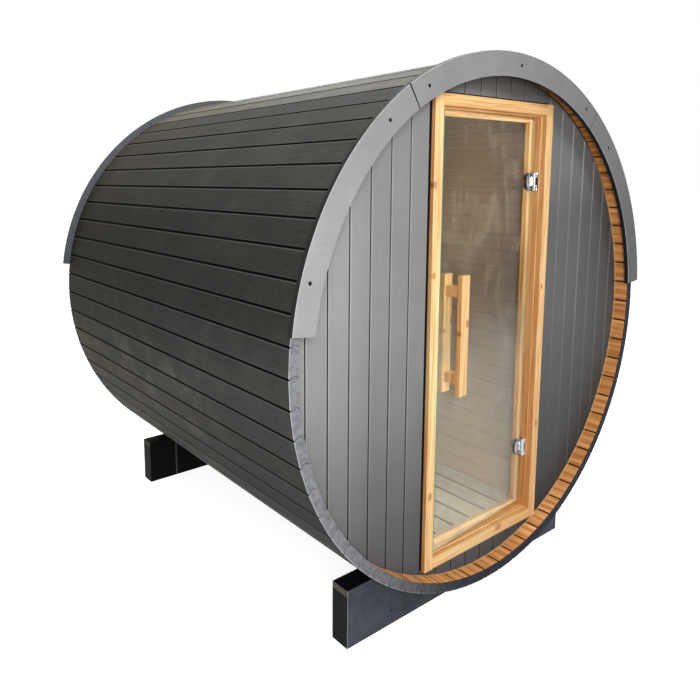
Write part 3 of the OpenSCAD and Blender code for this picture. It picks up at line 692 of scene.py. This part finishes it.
def cradle_paint():
    """Blue-black paint, painted nearly black as shade on the sawn ends, where a strip of wood shows at the
    top; painted shade also on the tops and the back cradle, and a painted highlight along the edge at the
    left end.
    """
    s = material_shader("cradle_paint")
    x, y, z = s.place()
    nx, ny, nz = s.facing()
    place = s.vector(x, y, z)
    mottle = s.noise(place, size=0.10, detail=4.0, roughness=0.6)
    streaks = s.noise(lengthwise(s, z, x, y, 0.4), size=0.012, detail=4.0, roughness=0.6)
    fine = s.noise(place, size=0.008, roughness=0.6)
    paint = s.mix(s.rise(mottle, 0.35, 0.70), NAVY, NAVY_DARK)
    paint = s.tint(s.rise(streaks, 0.42, 0.72), paint, 0.93)
    # Painted highlight: a light line along the edge at the left end
    paint = s.mix(s.rise(x, CRADLE_END_X + 0.0045, CRADLE_END_X + 0.0020), paint, NAVY_ARRIS)
    # Painted shade: the back cradle, under the barrel, nearly black but for its rear face
    at_back = s.times(s.zone(BACK_CRADLE), s.rise(ny, 0.6, 0.4))
    paint = s.mix(at_back, paint, s.mix(fine, BACK_NAVY, BACK_NAVY_LIGHT))
    from_stripe = s.size(s.minus(x, CRADLE_STRIPE_X))
    paint = s.mix(s.times(s.rise(from_stripe, 0.0050, 0.0035), at_back), paint, STRIPE)
    dent_x = s.minus(x, CRADLE_DENT[0])
    dent_z = s.minus(z, CRADLE_DENT[1])
    dent = s.math("SQRT", s.plus(s.times(dent_x, dent_x), s.times(s.times(dent_z, dent_z), 3.0)))
    paint = s.mix(s.times(s.rise(dent, 0.012, 0.004), s.rise(fine, 0.40, 0.60)), paint, NAVY_BLACK)
    # Painted shade: the tops, under the barrel, nearly black
    paint = s.mix(s.rise(nz, 0.6, 0.8), paint, NAVY_BLACK)

    strip = s.rise(s.plus(z, s.times(fine, 0.004)), CRADLE_STRIP_Z - 0.002, CRADLE_STRIP_Z + 0.002)
    # Painted shade: the sawn ends, turned from the light, nearly black, and darker still at the back
    ends = s.mix(s.rise(fine, 0.3, 0.7), SAWN_DARK, SAWN_LIGHT)
    ends = s.mix(s.times(strip, s.scale(mottle, 0.6, 1.0)), ends, KHAKI)
    ends = s.tint(at_back, ends, (0.66, 0.65, 0.50))
    color = s.mix(s.rise(s.size(nx), 0.8, 0.95), paint, ends)
    height = s.plus(s.plus(streaks, s.times(fine, 0.5)), s.times(s.rise(dent, 0.012, 0.005), -2.0))
    normal = s.bump(height, depth=0.0014, strength=0.6)
    return s.finish(s.principled(color, s.scale(mottle, 0.42, 0.58), normal, Specular_IOR_Level=0.04))


def glass():
    """Clear pane with green edges and wipe marks, darker across its middle as painted shade, under a film
    that is partly dust and partly a painted reflection; lamps shine through it.
    """
    s = material_shader("door_glass")
    x, y, z = s.place()
    place = s.vector(x, y, z)
    wipes = s.noise(s.vector(x, y, s.times(z, 0.22)), size=0.05, detail=4.0, roughness=0.65, distortion=0.6)
    film = s.noise(place, size=0.22)
    normal = s.bump(film, depth=0.0004, strength=0.15)
    # Painted shade: the pane darker across its middle
    color = s.mix(s.zone(PANE_MIDDLE), PANE, PANE_DEEP)
    pane = s.principled(color, s.scale(wipes, 0.0, 0.015), normal, Transmission_Weight=1.0, IOR=1.22)

    # A diffuse film, partly dust and partly a painted reflection, in runs and specks and heavier low down
    specks = s.noise(place, size=0.007, roughness=0.7)
    runs = s.noise(s.vector(x, y, s.times(z, 0.40)), size=0.060, detail=5.0, roughness=0.62, distortion=1.2)
    marks = s.plus(s.times(s.rise(runs, 0.42, 0.76), 0.11), s.times(s.rise(specks, 0.52, 0.72), 0.08))
    low = s.rise(s.plus(z, s.times(film, 0.20)), 1.32, 1.08)
    dust_and_reflection_share = s.plus(s.times(marks, s.rise(film, 0.25, 0.60)), s.times(low, 0.10))
    dust = s.node("BsdfDiffuse", {"Color": s.mix(low, DUST_AND_REFLECTION_WARM, DUST_AND_REFLECTION_GREY)})
    pane = s.node("MixShader", {0: dust_and_reflection_share, 1: pane, 2: dust})

    brown_edge = s.math("MAXIMUM", s.math("GREATER_THAN", x, GLASS_HINGE_X),
                        s.math("LESS_THAN", z, GLASS_FOOT_Z + 0.006))
    edge_color = s.mix(brown_edge, PANE_EDGE, PANE_EDGE_BROWN)
    edge = s.principled(edge_color, 0.12, normal, Specular_IOR_Level=0.5)
    at_edge = s.rise(s.size(s.facing()[1]), 0.6, 0.4)
    pane = s.node("MixShader", {0: at_edge, 1: pane, 2: edge})
    clear = s.node("BsdfTransparent", {0: PANE_SHADOW})
    shadow = s.node("LightPath", output="Is Shadow Ray")
    return s.finish(s.node("MixShader", {0: shadow, 1: pane, 2: clear}))


def chrome():
    """Polished hinge metal with faint brushing, a dark rim on the clamps, the lower hinge lighter as a
    painted reflection, and bands of painted reflection and shade.
    """
    s = material_shader("chrome")
    x, y, z = s.place()
    nx, ny, _ = s.facing()
    brush = s.noise(s.vector(x, y, s.times(z, 0.05)), size=0.0015)
    haze = s.noise(s.vector(x, y, z), size=0.02)
    color = s.mix(s.rise(haze, 0.4, 0.7), CHROME, CHROME_HAZE)
    # Painted reflection: the lower hinge made lighter
    color = s.tint(s.zone(LOWER_HINGE), color, 1.75)
    rim = s.times(s.rise(s.size(ny), 0.6, 0.4), s.rise(nx, -0.2, -0.5))
    rim = s.times(rim, s.math("LESS_THAN", y, CLAMP_BACK_Y))
    rim = s.times(rim, s.math("LESS_THAN", x, CLAMP_RIM_X))
    color = s.mix(rim, color, CHROME_RIM)
    # Painted reflection and shade: bands over clamps, knuckles and plates, full on the upper hinge and half
    # on the lower
    from_middle = s.math("MINIMUM", *(s.size(s.minus(z, middle)) for middle in HINGE_MIDDLES))
    strength = s.scale(s.zone(UPPER_HINGE), 0.5, 1.0)
    for *spans, tone in HINGE_REFLECTION_AND_SHADE_BANDS:
        band = strength
        for value, (low, high) in zip((x, y, from_middle), spans):
            inside = s.times(s.rise(value, low - BAND_BLUR, low + BAND_BLUR),
                             s.rise(value, high + BAND_BLUR, high - BAND_BLUR))
            band = s.times(inside, band)
        color = s.mix(band, color, tone)
    normal = s.bump(brush, depth=0.0002, strength=0.2)
    return s.finish(s.principled(color, s.scale(brush, 0.10, 0.22), normal, Metallic=1.0))


def fixing(name, light, dark):
    """Small nails and screws, dull and uneven."""
    s = material_shader(name)
    spots = s.noise(s.vector(*s.place()), size=0.004, roughness=0.6)
    color = s.mix(s.rise(spots, 0.35, 0.65), light, dark)
    normal = s.bump(spots, depth=0.0004, strength=0.5)
    return s.finish(s.principled(color, s.scale(spots, 0.45, 0.70), normal, Specular_IOR_Level=0.1))


# Finishes of the nodes

PINE_LEVEL = pine("pine_level", True, LEVEL_KNOTS)
FRONT_TRIM = trim_paint("front_trim", RIM_DARK, RIM_BLACK, RIM_BLACK)
BACK_TRIM = trim_paint("back_trim", RIM_BLACK, RIM_BLACK, RIM_SLATE)
PAINTS = {
    "stave_paint": stave_paint(), "wall_paint": wall_paint(), "cradle_paint": cradle_paint(),
    "bare_wood": plank(), "glass": glass(), "chrome": chrome(),
    "pine": pine("pine_upright", False, UPRIGHT_KNOTS),
}
SLOTS = {part["node"]: part["material_slot"] for part in frame["record"]["subparts"]}
for name, obj in NODES.items():
    chosen = PAINTS[SLOTS[name]]
    if "trim" in name:
        chosen = FRONT_TRIM if name.startswith("front") else BACK_TRIM
    if name in ("door_head", "door_sill"):
        chosen = PINE_LEVEL
    obj.data.materials.clear()
    obj.data.materials.append(chosen)


# Added fixings

def turned(name, places, profile, row_kinds, materials, sides):
    """One mesh of small turned heads. Each place is a point and a direction, the profile runs
    from the outside in, and each of its rows has a kind, which is the number of a material."""
    points, faces, kinds = [], [], []
    for spot, direction in places:
        turn = Vector(direction).to_track_quat("Z", "Y").to_matrix()
        base = len(points)
        for radius, height in profile:
            for k in range(sides):
                angle = 2 * math.pi * k / sides
                at = Vector((radius * math.cos(angle), radius * math.sin(angle), height))
                points.append(Vector(spot) + turn @ at)
        for row in range(len(profile) - 1):
            for k in range(sides):
                a, b = base + row * sides + k, base + row * sides + (k + 1) % sides
                faces.append((a, b, b + sides, a + sides))
                kinds.append(row_kinds[row])
        top = base + (len(profile) - 1) * sides
        faces.append(tuple(range(top, top + sides)))
        kinds.append(row_kinds[-1])
        faces.append(tuple(reversed(range(base, base + sides))))
        kinds.append(row_kinds[0])
    mesh = bpy.data.meshes.new(name)
    mesh.from_pydata(points, [], faces)
    for material in materials:
        mesh.materials.append(material)
    for face, kind in zip(mesh.polygons, kinds):
        face.material_index = kind
        face.use_smooth = True
    obj = bpy.data.objects.new(name, mesh)
    bpy.context.scene.collection.objects.link(obj)
    return obj


def on_barrel(angle, y):
    return (OUTER_R * math.sin(angle), y, CENTER_Z - OUTER_R * math.cos(angle))


NAIL = fixing("nail", NAIL_LIGHT, NAIL_DARK)
CHIPPED = fixing("chipped_paint", CHIP_LIGHT, CHIP_DARK)
# A near-black finish for the disc in each screw hole, as painted shade
DARK_HOLE = fixing("screw_hole", HOLE, HOLE_LIGHT)

random.seed(7)
for label, side in (("front", -1), ("back", 1)):
    places = []
    for k in range(STAVE_COUNT):
        angle = k * PITCH + random.uniform(-NAIL_STRAY_ANGLE, NAIL_STRAY_ANGLE)
        y = side * (WALL_MIDDLE_Y + random.uniform(-NAIL_STRAY_Y, NAIL_STRAY_Y))
        places.append((on_barrel(angle, y), (math.sin(angle), 0, -math.cos(angle))))
    nails = turned("stave_nails_" + label, places, NAIL_PROFILE, [0, 0, 0, 0], [NAIL], NAIL_SIDES)
    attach(nails, "cabin")

# Countersunk screws of the trim: a chipped rim round a dark disc, painted shade standing for the sunk hole,
# at angles from +x
for label, side in (("front", -1), ("back", 1)):
    places = []
    for degrees in SCREW_DEGREES:
        angle = math.radians(degrees)
        at = (SCREW_R * math.cos(angle), side * TRIM_FACE_Y, CENTER_Z + SCREW_R * math.sin(angle))
        places.append((at, (0, side, 0)))
    screws = turned("trim_screws_" + label, places, SCREW_PROFILE, [0, 0, 0, 1, 1],
                    [CHIPPED, DARK_HOLE], SCREW_SIDES)
    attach(screws, "cabin")


# Floor, light and camera

def seen(s):
    """1 for what the camera, gloss and glass see, 0 for what only lights."""
    path = s.node("LightPath").node
    either = s.math("MAXIMUM", path.outputs["Is Camera Ray"], path.outputs["Is Glossy Ray"])
    return s.math("MAXIMUM", either, path.outputs["Is Transmission Ray"])


def add_floor():
    """Pale floor that shows white and keeps the shadow."""
    s = material_shader("studio_floor")
    matt = s.node("BsdfDiffuse", {"Color": STUDIO_GREY})
    white = s.node("Emission", {"Color": WHITE, "Strength": s.times(seen(s), FLOOR_GLOW)})
    corners = [(-FLOOR_REACH, -FLOOR_REACH, 0), (FLOOR_REACH, -FLOOR_REACH, 0),
               (FLOOR_REACH, FLOOR_REACH, 0), (-FLOOR_REACH, FLOOR_REACH, 0)]
    mesh = bpy.data.meshes.new("studio_floor")
    mesh.from_pydata(corners, [], [(0, 1, 2, 3)])
    mesh.materials.append(s.finish(s.node("AddShader", {0: matt, 1: white})))
    floor = bpy.data.objects.new("studio_floor", mesh)
    bpy.context.scene.collection.objects.link(floor)


def add_world():
    """Soft light from a dome, brighter overhead, that shows as plain white."""
    world = bpy.data.worlds.new("studio")
    bpy.context.scene.world = world
    s = Shader(world)
    height = s.split(s.node("TexCoord", output="Generated"))[2]
    level = s.node("Mix", {0: seen(s), 2: s.scale(height, DOME_FOOT, DOME_HEAD), 3: 1.0})
    s.finish(s.node("Background", {"Color": WHITE, "Strength": level}), "OutputWorld")


def add_lamp(name, place, target, size, power):
    lamp = bpy.data.lights.new(name, "AREA")
    lamp.shape = "DISK"
    lamp.size = size
    lamp.energy = power
    obj = bpy.data.objects.new(name, lamp)
    obj.location = place
    aim = Vector(target) - Vector(place)
    obj.rotation_euler = aim.to_track_quat("-Z", "Y").to_euler()
    bpy.context.scene.collection.objects.link(obj)


def add_camera():
    data = bpy.data.cameras.new("camera")
    data.sensor_width = CAMERA_SENSOR
    data.lens = CAMERA_LENS
    data.shift_x, data.shift_y = CAMERA_SHIFT
    data.clip_end = CAMERA_REACH
    camera = bpy.data.objects.new("camera", data)
    level = Matrix.Rotation(math.pi / 2 - CAMERA_PITCH, 4, "X")
    turn = Matrix.Rotation(-CAMERA_YAW, 4, "Z") @ level @ Matrix.Rotation(CAMERA_ROLL, 4, "Z")
    camera.matrix_world = Matrix.Translation(CAMERA_PLACE) @ turn
    bpy.context.scene.collection.objects.link(camera)
    bpy.context.scene.camera = camera


add_floor()
add_world()
for name, settings in LAMPS.items():
    add_lamp(name, *settings)
add_camera()
bpy.context.scene.view_settings.view_transform = "Standard"
